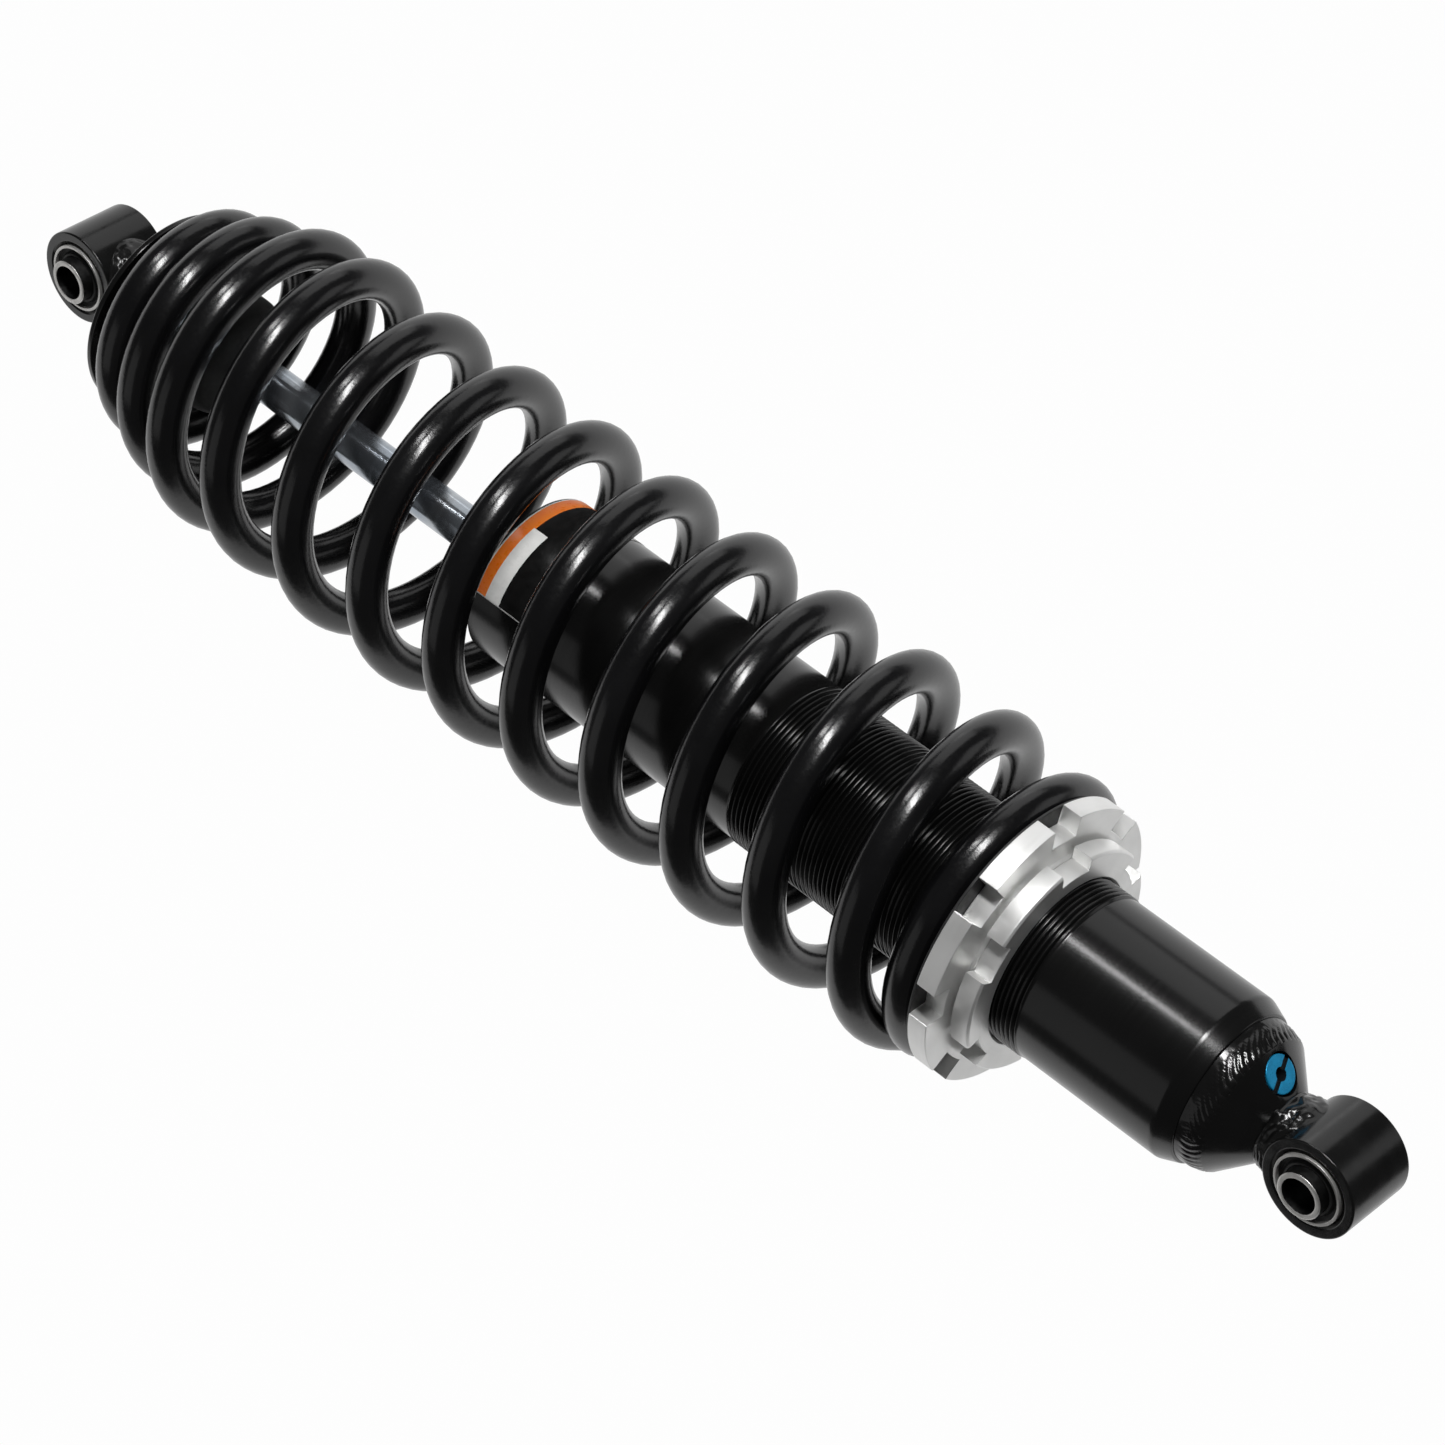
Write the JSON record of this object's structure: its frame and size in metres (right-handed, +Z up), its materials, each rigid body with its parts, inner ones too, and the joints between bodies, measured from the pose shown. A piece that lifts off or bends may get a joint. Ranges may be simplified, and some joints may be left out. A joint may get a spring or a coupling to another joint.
{
  "type": "coil-over rear shock absorber",
  "caption": "Coil-over rear shock: black coil spring, chromed rod, threaded body with aluminium preload and lock rings, and a bushed eye at each end.",
  "frame": {"origin": "centre of the bolt bore in the upper (body) eye", "axes": "+Z up along the shock axis from the rod eye towards the body eye, +X along the bolt axis of the body eye, +Y completes the right-handed frame"},
  "size_m": [0.0965, 0.0968, 0.499],
  "materials": {
    "satin_black_tube": "satin black, roughness 0.3",
    "satin_black_paint": "semi-gloss black paint over welded steel, roughness 0.35",
    "spring_powder_coat": "semi-gloss black powder coat with fine orange peel, roughness 0.3",
    "machined_aluminium": "fine turned clear-anodised aluminium, roughness 0.28",
    "hard_chrome": "polished hard chrome, roughness 0.08",
    "bush_steel": "zinc plated steel, roughness 0.3",
    "spring_steel": "ground spring steel, roughness 0.3",
    "rubber": "matte black rubber, roughness 0.75",
    "bumper_foam": "closed-cell polyurethane foam, roughness 0.8",
    "blue_anodised": "blue anodised aluminium, roughness 0.35",
    "label_film": "printed vinyl film, orange, white and black bands, roughness 0.35",
    "seal_nylon": "black nylon, roughness 0.5",
    "ptfe": "bronze-filled PTFE, roughness 0.5",
    "bush_bronze": "sintered bronze, roughness 0.4"
  },
  "bodies": {
    "body": {"body_tube": "satin_black_tube", "body_end_cap": "satin_black_paint", "cap_weld": "satin_black_paint", "body_eye": "satin_black_paint", "body_eye_weld": "satin_black_paint", "body_bush_outer_sleeve": "bush_steel", "body_bush_rubber": "rubber", "gas_valve_screw": "blue_anodised", "gas_valve_seal": "seal_nylon", "caution_label": "label_film", "seal_head": "machined_aluminium", "seal_head_o_ring": "rubber", "rod_wiper": "seal_nylon", "rod_seal": "rubber", "rod_guide_bush": "bush_bronze", "seal_head_circlip": "spring_steel", "dust_cap": "satin_black_paint"},
    "body_bush": {"body_bush_inner_sleeve": "bush_steel"},
    "retainer": {"spring_retainer": "satin_black_paint", "bump_stop": "bumper_foam"},
    "rod": {"rod": "hard_chrome", "rod_end_boss": "satin_black_paint", "rod_eye": "satin_black_paint", "rod_eye_weld": "satin_black_paint", "rod_bush_outer_sleeve": "bush_steel", "rod_bush_rubber": "rubber", "top_out_spacer": "rubber", "rebound_stop_washer": "spring_steel", "rebound_shims": "spring_steel", "piston": "machined_aluminium", "piston_band": "ptfe", "compression_shims": "spring_steel", "compression_stop_washer": "spring_steel", "piston_nut": "spring_steel"},
    "rod_bush": {"rod_bush_inner_sleeve": "bush_steel"},
    "floating_piston": {"floating_piston": "machined_aluminium", "floating_piston_o_ring": "rubber", "floating_piston_band": "ptfe"},
    "adjuster": {"spring_slip_washer": "seal_nylon", "spring": "spring_powder_coat"},
    "preload_ring": {"preload_ring": "machined_aluminium"},
    "lock_ring": {"lock_ring": "machined_aluminium"}
  },
  "joints": [
    {"name": "rod_slide", "type": "slide", "parent": "body", "child": "retainer", "axis": [0, 0, 1], "range_m": [0, 0.117], "stiffness_N_per_m": 33000, "springref_m": -0.01, "deforming": ["spring"]},
    {"name": "rod_turn", "type": "hinge", "parent": "retainer", "child": "rod", "pos_m": [0, 0, -0.4446], "axis": [0, 0, 1], "range_deg": [-90, 90]},
    {"name": "floating_piston_slide", "type": "slide", "parent": "body", "child": "floating_piston", "axis": [0, 0, 1], "range_m": [0, 0.0096]},
    {"name": "adjuster_slide", "type": "slide", "parent": "body", "child": "adjuster", "axis": [0, 0, 1], "range_m": [-0.0119, 0.0079], "deforming": ["spring"]},
    {"name": "preload_ring_turn", "type": "hinge", "parent": "adjuster", "child": "preload_ring", "pos_m": [0, 0, -0.1045], "axis": [0, 0, 1], "range_deg": [-2700, 1800]},
    {"name": "lock_ring_turn", "type": "hinge", "parent": "adjuster", "child": "lock_ring", "pos_m": [0, 0, -0.097], "axis": [0, 0, 1], "range_deg": [-2700, 1800]},
    {"name": "body_bush_twist", "type": "hinge", "parent": "body", "child": "body_bush", "pos_m": [0, 0, 0], "axis": [1, 0, 0], "range_deg": [-15, 15], "stiffness_Nm_per_rad": 20},
    {"name": "rod_bush_twist", "type": "hinge", "parent": "rod", "child": "rod_bush", "pos_m": [0, 0, -0.47], "axis": [1, 0, 0], "range_deg": [-15, 15], "stiffness_Nm_per_rad": 20}
  ],
  "couplings": [
    {"joint": "floating_piston_slide", "follows": "rod_slide", "ratio": 0.080708},
    {"joint": "preload_ring_turn", "follows": "adjuster_slide", "rad_per_m": 3957.9},
    {"joint": "lock_ring_turn", "follows": "adjuster_slide", "rad_per_m": 3957.9}
  ]
}
